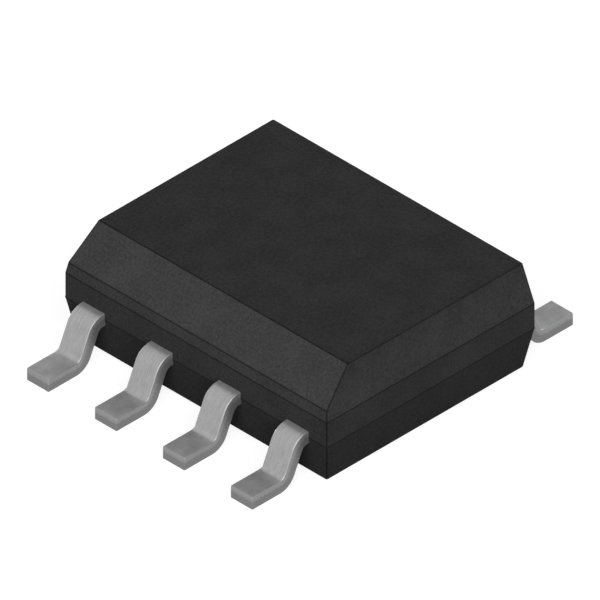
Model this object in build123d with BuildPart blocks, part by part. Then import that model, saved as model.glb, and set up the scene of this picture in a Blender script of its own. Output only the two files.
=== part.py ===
from build123d import *
from math import cos, hypot, radians, sin, tan
import os

# A flash memory chip in an eight-lead small-outline package, in millimetres.
# The origin is the middle of the seating plane, under the body. X runs across the two
# rows of leads, Y along the body towards pins 1 and 8, and Z is up. Pins 1 to 4 are on
# the -X side, below the bevelled top edge, and pins 5 to 8 on the +X side.
# Each lead, with its bond wire, is drawn in the quarter of +X and +Y and mirrored.

# Gull-wing leads
lead_pitch = 1.27
lead_span = 6.00  # across both rows, from toe to toe
lead_width = 0.41
lead_thickness = 0.20
foot_length = 0.52  # flat of the foot, from its toe to the bend
leg_angle = 65.5  # of the leg above the board, in degrees
bend_radius = 0.10  # inside each bend

# Moulded body
body_length = 4.90
body_width = 3.90
standoff = 0.02  # air between the board and the body
parting_height = 0.65  # where the mould halves meet, at half the leads' thickness
belt_height = 0.40  # upright wall above the parting line
cap_height = 0.65  # tapered top, above the belt
draft_angle = 10.0  # of the walls above the belt and below the parting line
bevel_width = 0.40  # of the pin 1 side's bevel, measured across the top
bevel_angle = 45.0
corner_radius = 0.025
edge_radius = 0.02  # round the top, the bevel and the underside
ejector_mark_diameter = 0.80
ejector_mark_depth = 0.03
ejector_mark_spacing = 2.60

# Lead frame inside the body: the paddle under the die, and the leads' fingers
paddle_width = 2.00
paddle_length = 2.50
paddle_downset = 0.20  # below the fingers
paddle_corner_radius = 0.10
tie_bar_width = 0.40
tie_bar_run = 0.12  # level stretch of a tie bar beside the paddle
tie_bar_rise_angle = 45.0
tie_bar_cover = 0.05  # compound over the end of each tie bar
finger_gap = 0.20  # between the fingers and the paddle
tie_bar_gap = 0.25  # between a corner finger and the tie bar
side_pad_width = 0.75  # where the wire lands on a side finger
side_pad_length = 0.40
corner_pad_length = 0.85

# Die and its bond wires
film_thickness = 0.02
film_margin = 0.03  # squeezed out round the die
die_width = 1.50
die_length = 2.00
die_thickness = 0.25
bond_pad_inset = 0.10  # from the die's long edge
corner_bond_inset = 0.15  # from the die's short edge
side_bond_offset = 0.35  # from the middle of the die
wire_diameter = 0.025
loop_height = 0.12  # above the die
loop_knee = 0.04  # cut across the loop's bend
ball_diameter = 0.07
ball_height = 0.02
stitch_length = 0.09
stitch_width = 0.05
stitch_height = 0.01
stitch_inset = 0.15  # from the finger's end

# Levels
foot_middle = lead_thickness / 2
frame_bottom = parting_height - lead_thickness / 2
frame_top = frame_bottom + lead_thickness
paddle_bottom = frame_bottom - paddle_downset
paddle_middle = paddle_bottom + lead_thickness / 2
paddle_top = paddle_bottom + lead_thickness
die_bottom = paddle_top + film_thickness
die_top = die_bottom + die_thickness
belt_top = parting_height + belt_height
body_top = belt_top + cap_height

# Bends, along the middle of the metal
middle_radius = bend_radius + lead_thickness / 2
bend_tangent = middle_radius * tan(radians(leg_angle / 2))
toe = lead_span / 2
heel = toe - foot_length - bend_tangent
shoulder = heel - (parting_height - foot_middle) / tan(radians(leg_angle))

# Places of the fingers and of the bonds
side_row = lead_pitch / 2
corner_row = lead_pitch * 3 / 2
side_tip = paddle_width / 2 + finger_gap
corner_tip = tie_bar_width / 2 + tie_bar_gap
corner_pad_edge = paddle_length / 2 + finger_gap
tie_bar_foot = paddle_length / 2 + tie_bar_run
tie_bar_top = tie_bar_foot + paddle_downset / tan(radians(tie_bar_rise_angle))
tie_bar_end = body_length / 2 - tie_bar_cover
bond_pad = die_width / 2 - bond_pad_inset


def formed(bends, side_view, blank):
    # A wide sheet, bent along its middle as the side view shows, and cut to the blank's outline
    with BuildPart() as sheet:
        with BuildSketch(side_view):
            with BuildLine():
                FilletPolyline(*bends, radius=middle_radius)
            trace(line_width=lead_thickness)
        extrude(amount=body_length, both=True)
        add(blank)
        extrude(amount=body_top, both=True, mode=Mode.INTERSECT)
    return sheet.part


# A side finger's pad flares out evenly, at 45 degrees
side_neck = side_tip + side_pad_length
side_flare = (side_pad_width - lead_width) / 2
with BuildSketch() as side_blank:
    with BuildLine():
        Polyline(
            (side_tip, side_row),
            (side_tip, side_row + side_pad_width / 2),
            (side_neck, side_row + side_pad_width / 2),
            (side_neck + side_flare, side_row + lead_width / 2),
            (toe, side_row + lead_width / 2),
            (toe, side_row),
        )
        mirror(about=Plane.XZ.offset(-side_row))
    make_face()

# A corner finger's pad flares out towards the paddle's short end
corner_neck = corner_tip + corner_pad_length
corner_flare = corner_row - lead_width / 2 - corner_pad_edge
with BuildSketch() as corner_blank:
    with BuildLine():
        Polyline(
            (corner_tip, corner_pad_edge),
            (corner_neck, corner_pad_edge),
            (corner_neck + corner_flare, corner_row - lead_width / 2),
            (toe, corner_row - lead_width / 2),
            (toe, corner_row + lead_width / 2),
            (corner_tip, corner_row + lead_width / 2),
            close=True,
        )
    make_face()

lead_bends = [(0, parting_height), (shoulder, parting_height), (heel, foot_middle), (toe, foot_middle)]
side_lead = formed(lead_bends, Plane.XZ, side_blank.sketch)
corner_lead = formed(lead_bends, Plane.XZ, corner_blank.sketch)

# The paddle's tie bars run out level, rise to the fingers' plane and end inside the wall
with BuildSketch() as paddle_blank:
    RectangleRounded(paddle_width, paddle_length, paddle_corner_radius)
    Rectangle(tie_bar_width, 2 * tie_bar_end)

paddle_bends = [
    (-tie_bar_end, parting_height),
    (-tie_bar_top, parting_height),
    (-tie_bar_foot, paddle_middle),
    (tie_bar_foot, paddle_middle),
    (tie_bar_top, parting_height),
    (tie_bar_end, parting_height),
]
die_paddle = formed(paddle_bends, Plane.YZ, paddle_blank.sketch)

with BuildPart() as die_attach:
    with BuildSketch(Plane.XY.offset(paddle_top)):
        Rectangle(die_width + 2 * film_margin, die_length + 2 * film_margin)
    extrude(amount=film_thickness)

with BuildPart() as memory_die:
    with BuildSketch(Plane.XY.offset(die_bottom)):
        Rectangle(die_width, die_length)
    extrude(amount=die_thickness)


def bond_wire(pad_y, landing_x, landing_y):
    # A ball on the die, a loop in the upright plane through both ends, and a stitch on the finger
    reach = hypot(landing_x - bond_pad, landing_y - pad_y)
    heading = Vector(landing_x - bond_pad, landing_y - pad_y, 0)
    ball_plane = Plane(origin=(bond_pad, pad_y, die_top))
    stitch_plane = Plane(origin=(landing_x, landing_y, frame_top), x_dir=heading)
    loop_plane = Plane(ball_plane.origin, x_dir=heading, z_dir=heading.cross(Vector(0, 0, 1)))
    with BuildPart() as wire:
        with BuildLine(loop_plane):
            Polyline(
                (0, 0),
                (0, loop_height - loop_knee),
                (loop_knee, loop_height),
                (reach, frame_top - die_top),
            )
        with BuildSketch(ball_plane):
            Circle(wire_diameter / 2)
        sweep(transition=Transition.RIGHT)
        with BuildSketch(ball_plane):
            Circle(ball_diameter / 2)
        extrude(amount=ball_height)
        with BuildSketch(stitch_plane):
            Rectangle(stitch_length, stitch_width)
        extrude(amount=stitch_height)
        split(bisect_by=stitch_plane, keep=Keep.TOP)
    return wire.part


side_wire = bond_wire(side_bond_offset, side_tip + stitch_inset, side_row)
corner_wire = bond_wire(
    die_length / 2 - corner_bond_inset,
    corner_tip + corner_pad_length / 2,
    corner_pad_edge + stitch_inset,
)

# Each quarter of the package: its corner pin, its side pin, and the planes it is mirrored in
quarters = [
    (8, 7, []),
    (1, 2, [Plane.YZ]),
    (5, 6, [Plane.XZ]),
    (4, 3, [Plane.YZ, Plane.XZ]),
]


def mirrored(piece, planes):
    # The piece's image in each plane in turn, or a copy where there is none
    with BuildPart() as image:
        add(piece)
        for plane in planes:
            mirror(about=plane, mode=Mode.REPLACE)
    return image.part


leads = {}
bond_wires = {}
for corner_pin, side_pin, planes in quarters:
    leads[corner_pin] = mirrored(corner_lead, planes)
    leads[side_pin] = mirrored(side_lead, planes)
    bond_wires[corner_pin] = mirrored(corner_wire, planes)
    bond_wires[side_pin] = mirrored(side_wire, planes)


def body_section(level, inset):
    # The body's outline at a level, drawn in on all sides from its widest
    with BuildSketch(Plane.XY.offset(level)) as section:
        RectangleRounded(body_width - 2 * inset, body_length - 2 * inset, corner_radius)
    return section.sketch


taper = tan(radians(draft_angle))
underside_inset = (parting_height - standoff) * taper
top_inset = cap_height * taper
bevel_edge = body_width / 2 - top_inset - bevel_width
bevel_normal = (-sin(radians(bevel_angle)), 0, cos(radians(bevel_angle)))
bevel_plane = Plane(origin=(-bevel_edge, 0, body_top), z_dir=bevel_normal)

with BuildPart() as mould_body:
    # Both halves of the mould open freely: the walls draw in from the parting line down and
    # from the belt up
    loft([body_section(standoff, underside_inset), body_section(parting_height, 0)], ruled=True)
    extrude(body_section(parting_height, 0), amount=belt_height)
    loft([body_section(belt_top, 0), body_section(body_top, top_inset)], ruled=True)
    # The bevel along the top of the pin 1 side
    split(bisect_by=bevel_plane, keep=Keep.BOTTOM)
    underside = mould_body.faces().sort_by(Axis.Z)[0]
    top_face = mould_body.faces().sort_by(Axis.Z)[-1]
    bevel_face = mould_body.faces().filter_by(bevel_plane)[0]
    fillet(underside.edges() + top_face.edges() + bevel_face.edges(), radius=edge_radius)
    # The ejector pins leave their marks in the underside
    with BuildSketch(Plane.XY.offset(standoff)):
        with GridLocations(0, ejector_mark_spacing, 1, 2):
            Circle(ejector_mark_diameter / 2)
    extrude(amount=ejector_mark_depth, mode=Mode.SUBTRACT)
    # The compound fills all the space round what it holds
    add([die_paddle, die_attach.part, memory_die.part], mode=Mode.SUBTRACT)
    add([*leads.values(), *bond_wires.values()], mode=Mode.SUBTRACT)

pieces = {
    "mould_body": mould_body.part,
    "die_paddle": die_paddle,
    "die_attach": die_attach.part,
    "memory_die": memory_die.part,
}
for pin in sorted(leads):
    pieces[f"lead_{pin}"] = leads[pin]
    pieces[f"bond_wire_{pin}"] = bond_wires[pin]

os.makedirs("parts", exist_ok=True)
for name, piece in pieces.items():
    piece.label = name
    export_step(piece, f"parts/{name}.step")
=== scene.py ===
import math

import bmesh
import bpy
import numpy as np
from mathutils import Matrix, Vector


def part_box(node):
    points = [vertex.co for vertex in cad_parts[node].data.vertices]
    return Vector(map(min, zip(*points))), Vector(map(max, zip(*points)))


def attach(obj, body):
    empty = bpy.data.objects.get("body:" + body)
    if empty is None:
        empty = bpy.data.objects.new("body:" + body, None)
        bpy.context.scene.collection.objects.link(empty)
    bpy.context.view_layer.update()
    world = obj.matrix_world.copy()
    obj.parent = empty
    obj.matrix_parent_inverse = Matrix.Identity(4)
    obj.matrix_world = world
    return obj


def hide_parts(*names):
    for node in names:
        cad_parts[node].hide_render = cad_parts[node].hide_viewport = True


# A flash memory chip in its eight-lead package, dressed for a plain studio picture.
# The body and the leads are new surfaces in the place of their CAD nodes. What lies inside
# the body keeps its CAD shape and gets its real finish.
# X runs across the two rows of leads, Y along the body, and Z up from the board. Pins 1 to 4
# stand on the -X side, below the bevel, with pin 1 at the +Y end.

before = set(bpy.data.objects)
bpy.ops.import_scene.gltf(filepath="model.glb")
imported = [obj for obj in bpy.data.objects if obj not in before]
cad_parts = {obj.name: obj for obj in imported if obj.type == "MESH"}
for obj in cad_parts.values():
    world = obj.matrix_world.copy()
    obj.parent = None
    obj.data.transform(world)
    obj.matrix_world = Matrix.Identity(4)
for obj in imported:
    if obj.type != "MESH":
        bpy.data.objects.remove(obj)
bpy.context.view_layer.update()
print("frame loaded:", len(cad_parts), "nodes")

mm = 0.001  # of the scene's metres
allPins = range(1, 9)
cornerPins = (1, 4, 5, 8)


# Mesh tools

def roundedOutline(radius, arcSteps, stepsAcross, stepsThrough):
    # A rectangle with round corners, anticlockwise. Each column keeps its share of the way from
    # the low side to the high one, and an offset: place = low + share * (high - low) + offset.
    # Corners are quarter circles. Along a straight side the share follows (1 - cos(pi t)) / 2,
    # and the offset sets the side's ends where the arcs end.
    corners = [(1, 1), (0, 1), (0, 0), (1, 0)]
    columns = []
    for quarter, (across, through) in enumerate(corners):
        angle = np.radians(90 * quarter + np.linspace(0, 90, arcSteps + 1))
        columns.append(np.stack([
            np.full_like(angle, across),
            np.full_like(angle, through),
            (1 - 2 * across + np.cos(angle)) * radius,
            (1 - 2 * through + np.sin(angle)) * radius,
        ]))
        nextAcross, nextThrough = corners[(quarter + 1) % 4]
        steps = stepsAcross if nextAcross != across else stepsThrough
        share = (1 - np.cos(np.pi * np.arange(1, steps) / steps)) / 2
        sideAcross = across + (nextAcross - across) * share
        sideThrough = through + (nextThrough - through) * share
        columns.append(np.stack([
            sideAcross,
            sideThrough,
            (1 - 2 * sideAcross) * radius * (nextAcross != across),
            (1 - 2 * sideThrough) * radius * (nextThrough != through),
        ]))
    return np.concatenate(columns, axis=1)


def ringFaces(rows, columns):
    # Four-sided faces between neighbouring rows and columns, the last column joined to the first
    row = np.arange(rows - 1)[:, None] * columns
    here = np.arange(columns)[None, :]
    beside = (here + 1) % columns
    corners = [row + here, row + beside, row + columns + beside, row + columns + here]
    return np.stack(corners, axis=-1).reshape(-1, 4)


def newPiece(name, grids, marks):
    # One closed mesh from grids of points (rows, columns, 3), shared edges and poles merged.
    # marks are vectors for each point, kept as named attributes for the material.
    mergeGap = 0.00001 * mm
    sharpFrom = math.radians(40)
    faces, start = [], 0
    for grid in grids:
        faces.append(ringFaces(*grid.shape[:2]) + start)
        start += grid.shape[0] * grid.shape[1]
    points = np.concatenate([grid.reshape(-1, 3) for grid in grids])
    mesh = bpy.data.meshes.new(name)
    mesh.from_pydata(points.tolist(), [], np.concatenate(faces).tolist())
    for mark, values in marks.items():
        mesh.attributes.new(mark, "FLOAT_VECTOR", "POINT").data.foreach_set("vector", values.ravel())
    merged = bmesh.new()
    merged.from_mesh(mesh)
    bmesh.ops.remove_doubles(merged, verts=merged.verts, dist=mergeGap)
    bmesh.ops.dissolve_degenerate(merged, edges=merged.edges, dist=mergeGap)
    merged.to_mesh(mesh)
    merged.free()
    mesh.shade_smooth()
    mesh.set_sharp_from_angle(angle=sharpFrom)
    piece = bpy.data.objects.new(name, mesh)
    bpy.context.scene.collection.objects.link(piece)
    return piece


# Material tools

noiseRange = (0.3, 0.7)  # where most of a noise's values lie


def feed(tree, node, sockets):
    # Each socket gets a value, or a link from another node's output
    for key, value in sockets.items():
        if isinstance(value, bpy.types.NodeSocket):
            tree.links.new(value, node.inputs[key])
        else:
            node.inputs[key].default_value = value


def put(tree, kind, sockets=None, **settings):
    # A new node, with its settings and its sockets
    node = tree.nodes.new(kind)
    for key, value in settings.items():
        setattr(node, key, value)
    feed(tree, node, sockets or {})
    return node


def newMaterial(name):
    # A material, its node tree, its shader, and the place on the piece in millimetres
    material = bpy.data.materials.new(name)
    material.use_nodes = True
    tree = material.node_tree
    place = put(tree, "ShaderNodeTexCoord").outputs["Object"]
    position = put(tree, "ShaderNodeVectorMath", {0: place, "Scale": 1 / mm}, operation="SCALE")
    return material, tree, tree.nodes["Principled BSDF"], position.outputs["Vector"]


def noise(tree, vector, size, detail, rough=0.5):
    # Noise whose blobs are about as wide as size, in the vector's own unit
    return put(tree, "ShaderNodeTexNoise", {
        "Vector": vector, "Scale": 1 / size, "Detail": detail, "Roughness": rough,
    }).outputs["Fac"]


def cells(tree, vector, size):
    # The distance to the nearest of many scattered points, about size apart
    return put(tree, "ShaderNodeTexVoronoi", {"Vector": vector, "Scale": 1 / size}).outputs["Distance"]


def spread(tree, value, low, high, fromLow=0.0, fromHigh=1.0):
    # A value moved from one range to another, and kept inside it
    return put(tree, "ShaderNodeMapRange", {
        "Value": value, "From Min": fromLow, "From Max": fromHigh, "To Min": low, "To Max": high,
    }).outputs["Result"]


def tones(tree, value, low, high, fromLow=0.0, fromHigh=1.0):
    # A colour between two, by a value. A Mix node has its two colours at inputs 6 and 7, and the
    # colour between them at output 2.
    low, high = (
        colour if isinstance(colour, bpy.types.NodeSocket) else (*colour, 1.0)
        for colour in (low, high)
    )
    share = spread(tree, value, 0.0, 1.0, fromLow, fromHigh)
    return put(tree, "ShaderNodeMix", {"Factor": share, 6: low, 7: high}, data_type="RGBA").outputs[2]


def maths(tree, operation, first, second):
    return put(tree, "ShaderNodeMath", {0: first, 1: second}, operation=operation).outputs[0]


def product(tree, first, *others):
    for other in others:
        first = maths(tree, "MULTIPLY", first, other)
    return first


def stretched(tree, vector, scale):
    # The vector multiplied axis by axis, so that a pattern on it is drawn out
    return put(tree, "ShaderNodeVectorMath", {0: vector, 1: scale}, operation="MULTIPLY").outputs[0]


def pointMark(tree, name):
    # What newPiece keeps for each point under this name
    return put(tree, "ShaderNodeAttribute", attribute_name=name).outputs["Vector"]


def parts(tree, vector):
    return put(tree, "ShaderNodeSeparateXYZ", {0: vector}).outputs


def surfaceNormal(tree):
    return put(tree, "ShaderNodeNewGeometry").outputs["Normal"]


def bump(tree, height, depth, under=None):
    # Relief of a depth in metres, laid over the relief under it
    sockets = {"Height": height, "Distance": depth}
    if under is not None:
        sockets["Normal"] = under
    return put(tree, "ShaderNodeBump", sockets).outputs["Normal"]


# Camera and light

picture = {
    "aim": Vector((0, 0, 0.85 * mm)),
    "away": Vector((-1, -1, 1)),  # an isometric view, from pin 4's end of the bevelled side
    "distance": 30 * mm,
    "across": 7.9307 * mm,  # what the picture's width takes in
    "nearest": 0.1 * mm,  # the depth that it takes in
    "furthest": 10000 * mm,
}

studio = {
    "key": 1.15,  # the level on a white card that faces the lamp
    "keyAngle": 75.0,  # degrees across the lamp, as wide as a window, for soft edges
    "fill": 1.0,
    "fillAngle": 20.0,
    "room": 0.05,  # the level from all round
}

paper = {
    "reach": 400 * mm,
    "drop": 0.001 * mm,  # below the feet
    "tone": 0.25,
    "toneSpread": 0.01,
    "fibre": (0.4, 3.0),  # size in millimetres, and detail
    "shown": 1.03,  # the level that the eye sees, just past white
}


def setCamera():
    camera = bpy.data.objects.new("camera", bpy.data.cameras.new("camera"))
    back = picture["away"].normalized()
    camera.location = picture["aim"] + back * picture["distance"]
    camera.rotation_euler = back.to_track_quat("Z", "Y").to_euler()
    camera.data.type = "ORTHO"
    camera.data.ortho_scale = picture["across"]
    camera.data.clip_start = picture["nearest"]
    camera.data.clip_end = picture["furthest"]
    bpy.context.scene.collection.objects.link(camera)
    bpy.context.scene.camera = camera
    return back


def setLamp(name, towards, level, angle):
    # A far lamp that shines from a direction; a level of 1 on a white card renders as white
    lamp = bpy.data.objects.new(name, bpy.data.lights.new(name, "SUN"))
    lamp.data.energy = math.pi * level
    lamp.data.angle = math.radians(angle)
    lamp.rotation_euler = towards.to_track_quat("Z", "Y").to_euler()
    bpy.context.scene.collection.objects.link(lamp)


def seenDirectly(tree):
    # 1 for what the camera sees, straight, in a reflection or through glass, and 0 for light
    rays = put(tree, "ShaderNodeLightPath").outputs
    either = maths(tree, "MAXIMUM", rays["Is Camera Ray"], rays["Is Glossy Ray"])
    return maths(tree, "MAXIMUM", either, rays["Is Transmission Ray"])


def setRoom():
    # The background is white to look at, and lights the object only at the room's level
    world = bpy.data.worlds.new("room")
    world.use_nodes = True
    tree = world.node_tree
    feed(tree, tree.nodes["Background"], {
        "Color": (1.0, 1.0, 1.0, 1.0),
        "Strength": spread(tree, seenDirectly(tree), studio["room"], 1.0),
    })
    bpy.context.scene.world = world


def setFloor(back):
    # A white sheet. What its own tone lacks of white is added for the eye alone, so that the
    # object's shadow stays.
    mesh = bpy.data.meshes.new("floor")
    sides = [(-1, -1), (1, -1), (1, 1), (-1, 1)]
    corners = [(x * paper["reach"], y * paper["reach"], -paper["drop"]) for x, y in sides]
    mesh.from_pydata(corners, [], [(0, 1, 2, 3)])
    floor = bpy.data.objects.new("floor", mesh)
    bpy.context.scene.collection.objects.link(floor)
    material, tree, shader, position = newMaterial("paper")
    tone = paper["tone"]
    fibre = noise(tree, position, *paper["fibre"])
    darker = (tone - paper["toneSpread"],) * 3
    lighter = (tone + paper["toneSpread"],) * 3
    lit = tone * (studio["key"] * back.z + studio["room"])
    feed(tree, shader, {
        "Base Color": tones(tree, fibre, darker, lighter, *noiseRange),
        "Roughness": 1.0,
        "Specular IOR Level": 0.0,
        "Emission Color": (1.0, 1.0, 1.0, 1.0),
        "Emission Strength": spread(tree, seenDirectly(tree), 0.0, paper["shown"] - lit),
    })
    mesh.materials.append(material)


viewBack = setCamera()
# The key stands with the camera, so that a face is lighter the more it looks this way. Two fills
# at the chip's own height light the two sides that the key leaves dark, and hardly the top.
setLamp("key", viewBack, studio["key"], studio["keyAngle"])
setLamp("fillRight", Vector((1, 0, 0)), studio["fill"], studio["fillAngle"])
setLamp("fillBack", Vector((0, 1, 0)), studio["fill"], studio["fillAngle"])
setRoom()
setFloor(viewBack)
bpy.context.scene.view_settings.view_transform = "Standard"
print("camera, lamps, room and floor set")


# Moulded body

body = {
    "cornerRadius": 0.025 * mm,
    "edgeRadius": 0.02 * mm,
    "partingHeight": 0.65 * mm,
    "beltHeight": 0.40 * mm,
    "draft": 10.0,
    "bevelWidth": 0.40 * mm,  # across the top, at 45 degrees
    "flashOut": 0.005 * mm,  # the thin lip where the mould halves met
    "flashHalf": 0.010 * mm,  # half of the lip's width at its foot
    "creaseReach": 0.016 * mm,  # how far the painted dark line of a crease fades on either side
    "markRadius": 0.40 * mm,  # of the ejector pins' marks in the underside
    "markDepth": 0.03 * mm,
    "markSpacing": 2.60 * mm,
    "markEdge": 0.008 * mm,
    "cornerSteps": 8,  # faces round an upright corner
    "sideSteps": (26, 30),  # along an end wall, and along a side wall
    "edgeSteps": 10,  # round a rounded edge
    "middleSteps": 25,  # along the underside's middle line
    "markSteps": 4,  # over the rounded edge of an ejector mark
}

# A pattern's numbers are its size in millimetres, then its detail and its roughness. The painted
# shade of the top and the painted light of the bevel are full up to the first facing angle, and end at
# the second.
compound = {
    "dark": (0.0309, 0.0309, 0.0315),
    "light": (0.0479, 0.0479, 0.0486),
    "contrast": (0.38, 0.62),  # the mixed grain and clouds that give these two
    "grain": (0.036, 3.0, 0.62),
    "clouds": (0.45, 4.0, 0.55),
    "grainShare": 0.7,  # of the grain in the tone, against the clouds
    "grainDepth": 0.0045 * mm,
    "pits": 0.055,
    "pitDepth": 0.0012 * mm,
    "filler": (0.070, 0.070, 0.068),
    "speckSpacing": 0.036,
    "speckEdge": (0.08, 0.20),  # where a speck starts to fade and where it ends, of the spacing
    "speckPatches": (0.108, 0.0),
    "speckFrom": (0.62, 0.68),  # only where the patches are above this
    "facing": (11.0, 26.0),
    "bevelPaintedLight": 1.17,  # painted light: the bevel's colour is made this much lighter
    "topPaintedShade": 0.83,  # painted shade: the top's colour is made this much darker
    "beltPaintedShade": 0.83,  # painted shade: the upright belt's colour is made this much darker
    "lowerPaintedShade": 0.70,  # painted shade: below the parting line the colour is made this much darker
    "creasePaintedShade": 0.24,  # painted shade: a thin dark line along each crease and upright corner
    "roughness": (0.72, 0.76),
    "shine": 0.012,
}


def facing(tree, direction):
    # 1 where the surface looks in the direction, and 0 where it looks well away from it
    cosine = put(
        tree, "ShaderNodeVectorMath", {0: surfaceNormal(tree), 1: direction}, operation="DOT_PRODUCT",
    ).outputs["Value"]
    full, none = (math.cos(math.radians(angle)) for angle in compound["facing"])
    return spread(tree, cosine, 0.0, 1.0, none, full)


def mouldingCompound():
    # Silica-filled black epoxy out of a spark-eroded mould: fine grain, shallow pits, faint
    # clouds, and here and there a grain of filler that shows at the surface. On this, light and
    # shade are painted: the bevel lighter, the top, the belt and the lower half darker, and a dark
    # line along each crease. The painted shade mark holds how near a crease is, from 0 to 1, then 1
    # below the parting line, and 1 on the belt.
    material, tree, shader, position = newMaterial("mouldingCompound")
    grain = noise(tree, position, *compound["grain"])
    clouds = noise(tree, position, *compound["clouds"])
    share = compound["grainShare"]
    mixed = maths(tree, "ADD", product(tree, grain, share), product(tree, clouds, 1 - share))
    tone = tones(tree, mixed, compound["dark"], compound["light"], *compound["contrast"])
    speckCells = cells(tree, position, compound["speckSpacing"])
    speck = spread(tree, speckCells, 1.0, 0.0, *compound["speckEdge"])
    patches = noise(tree, position, *compound["speckPatches"])
    chosen = spread(tree, patches, 0.0, 1.0, *compound["speckFrom"])
    speckled = tones(tree, product(tree, speck, chosen), tone, compound["filler"])
    crease, lowerHalf, belt = parts(tree, pointMark(tree, "paintedShadeMarks"))
    # Painted light and shade: the colour is scaled up on the bevel, and down on the top, the belt, the
    # lower half and along the creases
    paintedLightGain = product(
        tree,
        spread(tree, facing(tree, (-math.sqrt(0.5), 0, math.sqrt(0.5))), 1.0, compound["bevelPaintedLight"]),
        spread(tree, facing(tree, (0, 0, 1)), 1.0, compound["topPaintedShade"]),
        spread(tree, belt, 1.0, compound["beltPaintedShade"]),
        spread(tree, lowerHalf, 1.0, compound["lowerPaintedShade"]),
        spread(tree, crease, 1.0, compound["creasePaintedShade"]),
    )
    paintedTone = put(tree, "ShaderNodeVectorMath", {0: speckled, "Scale": paintedLightGain}, operation="SCALE")
    pitted = bump(tree, cells(tree, position, compound["pits"]), compound["pitDepth"])
    feed(tree, shader, {
        "Base Color": paintedTone.outputs["Vector"],
        "Roughness": spread(tree, clouds, *compound["roughness"], *noiseRange),
        "Specular IOR Level": compound["shine"],
        "Normal": bump(tree, grain, compound["grainDepth"], under=pitted),
    })
    return material


def roundedProfile(corners, radius, steps):
    # A wall's outline of (inset, height) pairs, and the middle of each of its corners. A corner
    # marked True gets an arc of the radius, centre + start * cos(turn) + side * sin(turn), whose
    # points are evenly turned and whose number of steps is even.
    outline, creases = [], []
    for index, (inset, height, rounded) in enumerate(corners):
        here = np.array([inset, height])
        if not rounded:
            outline.append(here[None, :])
            creases.append(here)
            continue
        before = np.array(corners[index - 1][:2]) - here
        after = np.array(corners[index + 1][:2]) - here
        before /= np.linalg.norm(before)
        after /= np.linalg.norm(after)
        half = math.acos(np.clip(before @ after, -1, 1)) / 2
        middle = (before + after) / np.linalg.norm(before + after)
        centre = here + middle * radius / math.sin(half)
        start = here + before * radius / math.tan(half) - centre
        end = here + after * radius / math.tan(half) - centre
        sweep = math.atan2(start[0] * end[1] - start[1] * end[0], start @ end)
        turn = np.linspace(0, sweep, steps + 1)[:, None]
        side = np.array([-start[1], start[0]])
        arc = centre + start * np.cos(turn) + side * np.sin(turn)
        outline.append(arc)
        creases.append(arc[steps // 2])
    return np.concatenate(outline), np.array(creases)


def bodyProfiles(low, high):
    # The outline and the creases of the plain walls and then of the bevelled wall, from the
    # underside up to the top face
    taper = math.tan(math.radians(body["draft"]))
    parting = body["partingHeight"]
    beltTop = parting + body["beltHeight"]
    bottomInset = (parting - low) * taper
    topInset = (high - beltTop) * taper
    bevelTop = topInset + body["bevelWidth"]
    # The bevel, inset = bevelTop - (high - height), meets the drafted wall,
    # inset = (height - beltTop) * taper, at this height
    bevelFoot = (high - bevelTop - beltTop * taper) / (1 - taper)
    # A further corner on each level face gives its arc a direction, and is left out at the end
    inward = 10 * body["edgeRadius"]
    lower = [
        (bottomInset + inward, low, False),
        (bottomInset, low, True),
        (0, parting, False),
        (0, beltTop, False),
    ]
    plain = [*lower, (topInset, high, True), (topInset + inward, high, False)]
    bevelled = [
        *lower,
        ((bevelFoot - beltTop) * taper, bevelFoot, True),
        (bevelTop, high, True),
        (bevelTop + inward, high, False),
    ]
    walls = [roundedProfile(wall, body["edgeRadius"], body["edgeSteps"]) for wall in (plain, bevelled)]
    return [(outline[1:-1], creases[1:-1]) for outline, creases in walls]


def nearCrease(insets, levels, creases):
    # 1 on a crease, down to 0 at the crease's reach from it
    away = np.hypot(insets[:, None] - creases[:, 0], levels[:, None] - creases[:, 1]).min(axis=1)
    return np.clip(1 - away / body["creaseReach"], 0, 1)[:, None]


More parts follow.
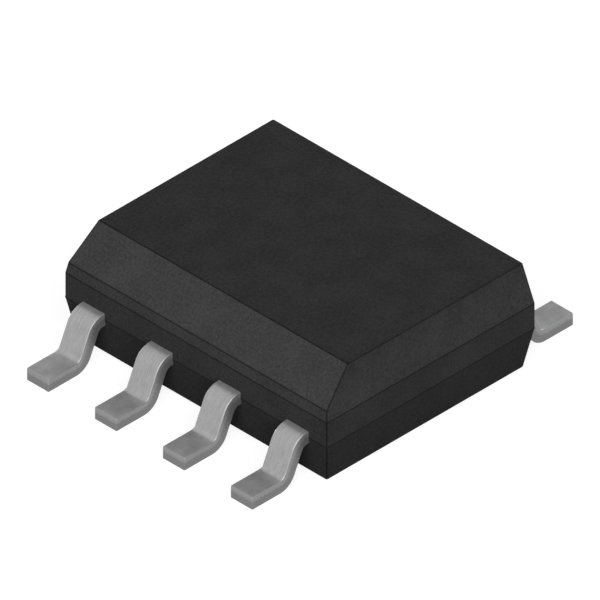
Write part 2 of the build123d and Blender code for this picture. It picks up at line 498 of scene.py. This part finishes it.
def bodyWalls(low, high):
    # Rounded rectangles, one above the other, each side drawn in by its own wall's outline:
    # place = low + inset + share * (high - low - both insets) + offset. Rows lie at each height
    # that either outline needs, and close beside each crease.
    (plain, plainCreases), (bevelled, bevelCreases) = bodyProfiles(low[2], high[2])
    creaseLevels = bevelCreases[1:-1, 1]
    partingLevel, beltLevel = creaseLevels[:2]
    beside = creaseLevels[:, None] + np.array([-2, -1, -0.5, 0.5, 1, 2]) * body["creaseReach"]
    levels = np.concatenate([plain[:, 1], bevelled[:, 1], beside.ravel()])
    levelDigits = 9  # in metres, so that equal heights become one row
    sameLevel = 0.001 * mm
    levels = np.unique(np.round(np.clip(levels, low[2], high[2]), levelDigits))
    plainInset = np.interp(levels, plain[:, 1], plain[:, 0])
    bevelInset = np.interp(levels, bevelled[:, 1], bevelled[:, 0])
    plainCrease = nearCrease(plainInset, levels, plainCreases)
    bevelCrease = nearCrease(bevelInset, levels, bevelCreases)
    flash = body["flashOut"] * np.clip(1 - np.abs(levels - partingLevel) / body["flashHalf"], 0, 1)
    shareX, shareY, offsetX, offsetY = roundedOutline(
        body["cornerRadius"], body["cornerSteps"], *body["sideSteps"],
    )
    xLow = (low[0] + bevelInset - flash)[:, None]
    xHigh = (high[0] - plainInset + flash)[:, None]
    yLow = (low[1] + plainInset - flash)[:, None]
    yHigh = (high[1] - plainInset + flash)[:, None]
    walls = np.stack(np.broadcast_arrays(
        xLow + shareX * (xHigh - xLow) + offsetX,
        yLow + shareY * (yHigh - yLow) + offsetY,
        levels[:, None],
    ), axis=-1)
    # Round an upright corner the outward normal is (cos, sin), and sqrt(2) min(cos, sin) is 1 in
    # the middle of the corner and 0 on the flat sides
    cosine = np.abs(offsetX / body["cornerRadius"] - (1 - 2 * shareX))
    sine = np.abs(offsetY / body["cornerRadius"] - (1 - 2 * shareY))
    upright = math.sqrt(2) * np.minimum(cosine, sine)
    # These marks carry painted shade: a dark line on each crease and round each upright corner, and
    # darker colour below the parting line and on the belt
    crease = np.maximum(upright, np.where(shareX == 0, bevelCrease, plainCrease))
    lowerHalf = levels < partingLevel - sameLevel
    belt = ~lowerHalf & (levels < beltLevel - sameLevel)
    paintedShadeMarks = np.broadcast_arrays(crease, lowerHalf[:, None], belt[:, None])
    return walls, np.stack(paintedShadeMarks, axis=-1)


def undersideFan(rim):
    # The +Y half of the underside: a fan of rays from its ejector mark's centre to the rim, and
    # to the middle line. Along a ray the rows run in to the mark, over its rounded edge, down its
    # wall and across its floor: place = centre + ray * distance + up * height.
    edge, depth, radius = body["markEdge"], body["markDepth"], body["markRadius"]
    onMiddle = 0.000001 * mm
    half = rim[rim[:, 1] > -onMiddle]
    half = half[np.argsort(-np.arctan2(np.maximum(half[:, 1], 0), half[:, 0]))]
    share = np.linspace(0, 1, body["middleSteps"] + 1)[1:-1, None]
    loop = np.concatenate([half, half[-1] + (half[0] - half[-1]) * share])
    centre = np.array([0, body["markSpacing"] / 2, rim[0, 2]])
    away = loop - centre
    reach = np.linalg.norm(away, axis=1, keepdims=True)
    ray = away / reach
    up = np.array([0, 0, 1])
    outside = np.array([1, 0.985, 0.5, 0.1])[:, None, None]  # shares of the way from mark to rim
    flat = centre + ray * (radius + edge + (reach - radius - edge) * outside)
    turn = np.radians(np.linspace(0, 90, body["markSteps"] + 1))[:, None, None]
    lip = centre + ray * (radius + edge * (1 - np.sin(turn))) + up * edge * (1 - np.cos(turn))
    inside = np.array([1, 0.97, 0.5, 0])[:, None, None]  # shares of the mark's radius
    floor = centre + ray * radius * inside + up * depth
    return np.concatenate([flat, lip, floor])


def makeBody():
    low, high = (np.array(corner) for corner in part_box("mould_body"))
    walls, paintedShadeMarks = bodyWalls(low, high)
    # The top closes in rings, each point at rim + (centre - rim) * share
    rim = walls[-1]
    ringShares = np.array([0.01, 0.03, 0.3, 0.7, 1.0])[:, None, None]
    top = rim + (rim.mean(axis=0) - rim) * ringShares
    fan = undersideFan(walls[0])
    mirrored = fan[:, ::-1] * np.array([1, -1, 1])
    below = np.broadcast_to([0.0, 1.0, 0.0], fan.shape)  # no painted crease line, and the painted shade of the lower half
    flat = [np.zeros_like(top), below, below]
    marks = {"paintedShadeMarks": np.concatenate([part.reshape(-1, 3) for part in (paintedShadeMarks, *flat)])}
    piece = newPiece("moulded_body", [np.concatenate([walls, top]), fan, mirrored], marks)
    piece.data.materials.append(mouldingCompound())
    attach(piece, "root")
    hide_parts("mould_body")
    print("body moulded:", len(piece.data.polygons), "faces")


makeBody()


# Leads

lead = {
    "thickness": 0.20 * mm,
    "width": 0.41 * mm,
    "footLength": 0.52 * mm,
    "legAngle": 65.5,
    "middleRadius": 0.20 * mm,  # of a bend, along the middle of the metal
    "edgeRadius": 0.014 * mm,
    "fade": 0.06 * mm,  # of the forming tool's marks, past each end of the bent stretch
    "sidePad": 0.40 * mm,  # length of a side finger's wide end
    "cornerPad": 0.85 * mm,
    "steps": (2, 16, 4, 16, 4),  # along the finger, the bend, the leg, the bend and the foot
    "endSteps": 5,  # over the rounded edge at the tip and at the toe
    "endRings": (0, 0.5, 0.92),  # sizes of the rings that close an end, of the section's own
    "cornerSteps": 4,
    "sideSteps": (10, 6),  # across the width, and through the thickness
    "pathOffset": 7.0,  # millimetres, so that each lead has its own stretch of the streaks
}

# A pattern's numbers are in the compound's order
tin = {
    "dark": (0.232, 0.232, 0.237),
    "light": (0.300, 0.300, 0.302),
    "contrast": (0.35, 0.65),
    "clouds": (0.16, 4.0, 0.6),
    "grain": (0.011, 2.0, 0.6),
    "grainDepth": 0.0010 * mm,
    "rubbed": (0.375, 0.375, 0.375),  # where the forming tool slid over it
    "rubbedLeast": 0.2,  # between the streaks
    "streaks": (0.018, 3.0, 0.6),
    "streakStretch": 0.08,
    "streakDepth": 0.0012 * mm,
    "streaksElsewhere": 0.2,  # of their depth, where the metal stays flat
    "sheared": (0.27, 0.27, 0.272),  # the smooth band of a stamped side
    "torn": (0.18, 0.18, 0.182),  # the broken band below it
    "tornFrom": 0.25,  # where it starts, from 1 at the top face to -1 at the underside
    "tornFade": 0.18,
    "tornRagged": 0.22,
    "tears": (0.0234, 3.0, 0.65),
    "tearStretch": 0.015,
    "tornDepth": 0.0030 * mm,
    "roughness": (0.40, 0.50),
    "rubbedRoughness": 0.34,
    "metal": 0.50,  # matte tin scatters a part of the light as paint does
}


def tinPlate():
    # Matte tin: crystals a few microns wide, cloudy from plating, and drawn out into fine streaks
    # where the forming tool slid over the bends. A stamped side is smooth near the top and torn
    # below. The path mark holds millimetres along and across the lead, and the height through the
    # metal from 1 to -1. The work mark holds where the metal is formed, and where cut.
    material, tree, shader, position = newMaterial("tinPlate")
    path = pointMark(tree, "path")
    through = parts(tree, path)["Z"]
    formed, cut = parts(tree, pointMark(tree, "work"))[:2]
    grain = noise(tree, position, *tin["grain"])
    clouds = noise(tree, position, *tin["clouds"])
    drawnOut = stretched(tree, path, (tin["streakStretch"], 1.0, 0.0))
    streaks = noise(tree, drawnOut, *tin["streaks"])
    tears = noise(tree, stretched(tree, path, (1.0, 1.0, tin["tearStretch"])), *tin["tears"])
    slid = spread(tree, streaks, tin["rubbedLeast"], 1.0, *tin["contrast"])
    rubbed = product(tree, formed, slid)
    plated = tones(tree, clouds, tin["dark"], tin["light"], *tin["contrast"])
    face = tones(tree, rubbed, plated, tin["rubbed"])
    wander = spread(tree, tears, -tin["tornRagged"], tin["tornRagged"], *noiseRange)
    tornRange = (tin["tornFrom"] - tin["tornFade"], tin["tornFrom"] + tin["tornFade"])
    torn = spread(tree, maths(tree, "ADD", through, wander), 1.0, 0.0, *tornRange)
    side = tones(tree, torn, tin["sheared"], tin["torn"])
    rough = spread(tree, grain, *tin["roughness"], *noiseRange)
    smoother = product(tree, rubbed, tin["roughness"][1] - tin["rubbedRoughness"])
    crystals = bump(tree, grain, tin["grainDepth"])
    scored = product(tree, streaks, spread(tree, formed, tin["streaksElsewhere"], 1.0))
    drawn = bump(tree, scored, tin["streakDepth"], under=crystals)
    broken = product(tree, tears, torn, cut)
    feed(tree, shader, {
        "Base Color": tones(tree, cut, face, side),
        "Metallic": tin["metal"],
        "Roughness": maths(tree, "SUBTRACT", rough, smoother),
        "Normal": bump(tree, broken, tin["tornDepth"], under=drawn),
    })
    return material


def middleLine(tip, toe):
    # Where the rows lie along the middle of the metal, where its five stretches meet, and the
    # leg's angle. The stretches are the level finger, an arc down, the straight leg, an arc back
    # and the level foot.
    angle = math.radians(lead["legAngle"])
    radius = lead["middleRadius"]
    tangent = radius * math.tan(angle / 2)
    rise = body["partingHeight"] - lead["thickness"] / 2
    level = toe - lead["footLength"] - tangent - rise / math.tan(angle) - tangent - tip
    leg = rise / math.sin(angle) - 2 * tangent
    arc = radius * angle
    ends = np.cumsum([0, level, arc, leg, arc, lead["footLength"]])
    stretches = zip(ends[:-1], ends[1:], lead["steps"])
    rows = [np.linspace(first, last, steps + 1)[:-1] for first, last, steps in stretches]
    return np.concatenate([*rows, ends[-1:]]), ends, angle


def bentLine(stations, ends, angle):
    # The direction at each row, and its place from the tip. The direction turns evenly along an
    # arc, and each step is the chord 2 R sin(turn / 2), so that the sum of the steps is exact.
    turned = -angle * (
        np.clip((stations - ends[1]) / (ends[2] - ends[1]), 0, 1)
        - np.clip((stations - ends[3]) / (ends[4] - ends[3]), 0, 1)
    )
    step, turn = np.diff(stations), np.diff(turned)
    heading = (turned[:-1] + turned[1:]) / 2
    chord = step * np.sinc(turn / 2 / np.pi)
    forward = np.concatenate([[0], np.cumsum(chord * np.cos(heading))])
    upward = np.concatenate([[0], np.cumsum(chord * np.sin(heading))])
    return turned[:, None], forward[:, None], upward[:, None]


def leadSurface(tip, toe, padSpan, footSpan, padLength):
    # A rounded rectangle carried along the middle line, as wide as the stamped blank is there:
    # place = line + across * Y + height * normal, where the normal is (-sin, cos) of the line's
    # direction. The ends are rounded by drawing the section in by r (1 - cos t) over the last r,
    # and they close in rings round the middle.
    along, ends, angle = middleLine(tip, toe)
    edge = lead["edgeRadius"]
    total = ends[-1]
    flare = max(abs(footSpan[0] - padSpan[0]), abs(padSpan[1] - footSpan[1]))
    along = np.unique(np.concatenate([along, [padLength, padLength + flare]]))
    along = along[(along > edge) & (along < total - edge)]
    quarter = np.radians(np.linspace(0, 90, lead["endSteps"] + 1))
    tipRound = edge - edge * np.sin(quarter[::-1])
    toeRound = total - edge + edge * np.sin(quarter)
    drawnIn = edge * (1 - np.cos(quarter))
    rings = np.array(lead["endRings"])
    closed = np.full_like(rings, edge)
    stations = np.concatenate([0 * rings, tipRound, along, toeRound, total + 0 * rings])
    inset = np.concatenate([closed, drawnIn[::-1], 0 * along, drawnIn, closed])[:, None]
    scale = np.ones_like(inset)
    scale[:len(rings), 0] = rings
    scale[-len(rings):, 0] = rings[::-1]
    turned, forward, upward = bentLine(stations, ends, angle)
    stations = stations[:, None]

    places = [0, padLength, padLength + flare, total]
    lowSide, highSide = (
        np.interp(stations, places, [pad, pad, foot, foot]) for pad, foot in zip(padSpan, footSpan)
    )
    half = lead["thickness"] / 2
    shareAcross, shareThrough, offsetAcross, offsetThrough = roundedOutline(
        edge, lead["cornerSteps"], *lead["sideSteps"],
    )
    width = highSide - lowSide - 2 * inset
    corner = 1 - inset / edge
    across = (shareAcross - 0.5) * width + offsetAcross * corner
    through = (shareThrough - 0.5) * 2 * (half - inset) + offsetThrough * corner
    y = (lowSide + highSide) / 2 + across * scale
    height = through * scale
    surface = np.stack([
        tip + forward - np.sin(turned) * height,
        y,
        body["partingHeight"] + upward + np.cos(turned) * height,
    ], axis=-1)
    # Formed from the first bend to the end of the second, fading out over the fade length
    formed = np.clip(1 - np.maximum(ends[1] - stations, stations - ends[4]) / lead["fade"], 0, 1)
    # Cut where the blank's outline is: on the stamped sides and at both ends
    side = np.clip((np.abs(across) - (width / 2 + inset - edge)) / edge, 0, 1)
    end = np.clip((np.abs(stations - total / 2) - (total / 2 - edge)) / edge, 0, 1)
    marks = {
        "path": np.broadcast_arrays(stations / mm, y / mm, height / half),
        "work": np.broadcast_arrays(formed, np.maximum(side, end), 0 * y),
    }
    return surface, {mark: np.stack(values, axis=-1) for mark, values in marks.items()}


def makeLead(pin, material):
    # Drawn in the quarter of +X and +Y, and mirrored to its own; an odd number of mirrorings
    # turns the columns' order round, so that faces look outwards
    low, high = (np.array(corner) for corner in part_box(f"lead_{pin}"))
    signs = np.array([1 if high[0] > 0 else -1, 1 if high[1] + low[1] > 0 else -1, 1])
    near = np.minimum(np.abs(low), np.abs(high))
    far = np.maximum(np.abs(low), np.abs(high))
    padSpan = (near[1], far[1])
    if pin in cornerPins:
        padLength = lead["cornerPad"]
        footSpan = (far[1] - lead["width"], far[1])
    else:
        padLength = lead["sidePad"]
        row = (near[1] + far[1]) / 2
        footSpan = (row - lead["width"] / 2, row + lead["width"] / 2)
    surface, marks = leadSurface(near[0], far[0], padSpan, footSpan, padLength)
    marks["path"] += np.array([lead["pathOffset"] * pin, 0, 0])
    surface = surface * signs
    if signs[0] * signs[1] < 0:
        surface = surface[:, ::-1]
        marks = {mark: values[:, ::-1] for mark, values in marks.items()}
    piece = newPiece(f"gull_wing_{pin}", [surface], marks)
    piece.data.materials.append(material)
    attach(piece, "root")
    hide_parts(f"lead_{pin}")


tinned = tinPlate()
for pin in allPins:
    makeLead(pin, tinned)
print("eight leads formed and plated")


# Inside the body

copper = {
    "dark": (0.60, 0.30, 0.19),
    "light": (0.74, 0.42, 0.28),
    "silverDark": (0.70, 0.69, 0.66),
    "silverLight": (0.84, 0.83, 0.80),
    "silverFrom": (0.45, 0.55),  # of how far the surface looks up
    "rolling": (0.015, 3.0, 0.6),
    "rollingStretch": 0.05,
    "rollingDepth": 0.0008 * mm,
    "stains": (0.5, 3.0),
    "roughness": (0.24, 0.38),
}


def copperAlloy():
    # Rolled strip: long streaks along the strip, a silver flash on the side that takes the die
    material, tree, shader, position = newMaterial("copperAlloy")
    drawnOut = stretched(tree, position, (1.0, copper["rollingStretch"], 1.0))
    rolled = noise(tree, drawnOut, *copper["rolling"])
    stains = noise(tree, position, *copper["stains"])
    bare = tones(tree, rolled, copper["dark"], copper["light"], *noiseRange)
    silver = tones(tree, rolled, copper["silverDark"], copper["silverLight"], *noiseRange)
    lookingUp = parts(tree, surfaceNormal(tree))["Z"]
    feed(tree, shader, {
        "Base Color": tones(tree, lookingUp, bare, silver, *copper["silverFrom"]),
        "Metallic": 1.0,
        "Roughness": spread(tree, stains, *copper["roughness"], *noiseRange),
        "Normal": bump(tree, rolled, copper["rollingDepth"]),
    })
    return material


epoxy = {
    "flake": (0.62, 0.61, 0.58),
    "resin": (0.30, 0.29, 0.27),
    "flakeSpacing": 0.012,
    "flakeEdge": (0.1, 0.6),
    "flakeDepth": 0.0020 * mm,
    "metal": (0.95, 0.4),  # of a flake, and of the resin between
    "paste": (0.08, 3.0),
    "roughness": (0.40, 0.60),
}


def silverEpoxy():
    # Paste crowded with silver flakes
    material, tree, shader, position = newMaterial("silverEpoxy")
    flakes = cells(tree, position, epoxy["flakeSpacing"])
    paste = noise(tree, position, *epoxy["paste"])
    feed(tree, shader, {
        "Base Color": tones(tree, flakes, epoxy["flake"], epoxy["resin"], *epoxy["flakeEdge"]),
        "Metallic": spread(tree, flakes, *epoxy["metal"], *epoxy["flakeEdge"]),
        "Roughness": spread(tree, paste, *epoxy["roughness"], *noiseRange),
        "Normal": bump(tree, flakes, epoxy["flakeDepth"]),
    })
    return material


silicon = {
    "bank": (0.16, 0.13, 0.20, 1.0),
    "otherBank": (0.13, 0.15, 0.21, 1.0),
    "bankLength": 0.62,
    "bankWidth": 0.22,
    "wiring": (0.34, 0.30, 0.26, 1.0),
    "wiringWidth": 0.02,
    "rowsScale": 24.0,
    "rowDepth": 0.0003 * mm,
    "film": (0.9, 1.0),
    "filmTint": (0.20, 0.17, 0.24),
    "filmRange": (0.3, 0.9),
    "roughness": (0.12, 0.24),
    "metal": 0.75,
}


def siliconDie():
    # Polished silicon under glass: banks of memory rows with wiring between them, which differ by
    # a shade as thin films do
    material, tree, shader, position = newMaterial("siliconDie")
    banks = put(tree, "ShaderNodeTexBrick", {
        "Vector": position,
        "Scale": 1.0,
        "Color1": silicon["bank"],
        "Color2": silicon["otherBank"],
        "Brick Width": silicon["bankLength"],
        "Row Height": silicon["bankWidth"],
        "Mortar": silicon["wiring"],
        "Mortar Size": silicon["wiringWidth"],
    }, offset=0.0).outputs["Color"]
    rows = put(tree, "ShaderNodeTexWave", {
        "Vector": position, "Scale": silicon["rowsScale"], "Distortion": 0.0,
    }, bands_direction="Y").outputs["Fac"]
    film = noise(tree, position, *silicon["film"])
    feed(tree, shader, {
        "Base Color": tones(tree, film, banks, silicon["filmTint"], *silicon["filmRange"]),
        "Metallic": silicon["metal"],
        "Roughness": spread(tree, rows, *silicon["roughness"]),
        "Normal": bump(tree, rows, silicon["rowDepth"]),
    })
    return material


gold = {
    "dark": (0.78, 0.50, 0.15),
    "light": (0.92, 0.66, 0.27),
    "drawing": (0.006, 2.0),
    "drawingDepth": 0.0004 * mm,
    "roughness": (0.16, 0.28),
}


def goldWire():
    # Drawn gold, bright, with a faint unevenness from the drawing die
    material, tree, shader, position = newMaterial("goldWire")
    drawn = noise(tree, position, *gold["drawing"])
    feed(tree, shader, {
        "Base Color": tones(tree, drawn, gold["dark"], gold["light"], *noiseRange),
        "Metallic": 1.0,
        "Roughness": spread(tree, drawn, *gold["roughness"], *noiseRange),
        "Normal": bump(tree, drawn, gold["drawingDepth"]),
    })
    return material


def dress(node, material):
    node.data.materials.clear()
    node.data.materials.append(material)


dress(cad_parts["die_paddle"], copperAlloy())
dress(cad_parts["die_attach"], silverEpoxy())
dress(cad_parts["memory_die"], siliconDie())
wireGold = goldWire()
for pin in allPins:
    dress(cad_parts[f"bond_wire_{pin}"], wireGold)
print("inner pieces dressed")
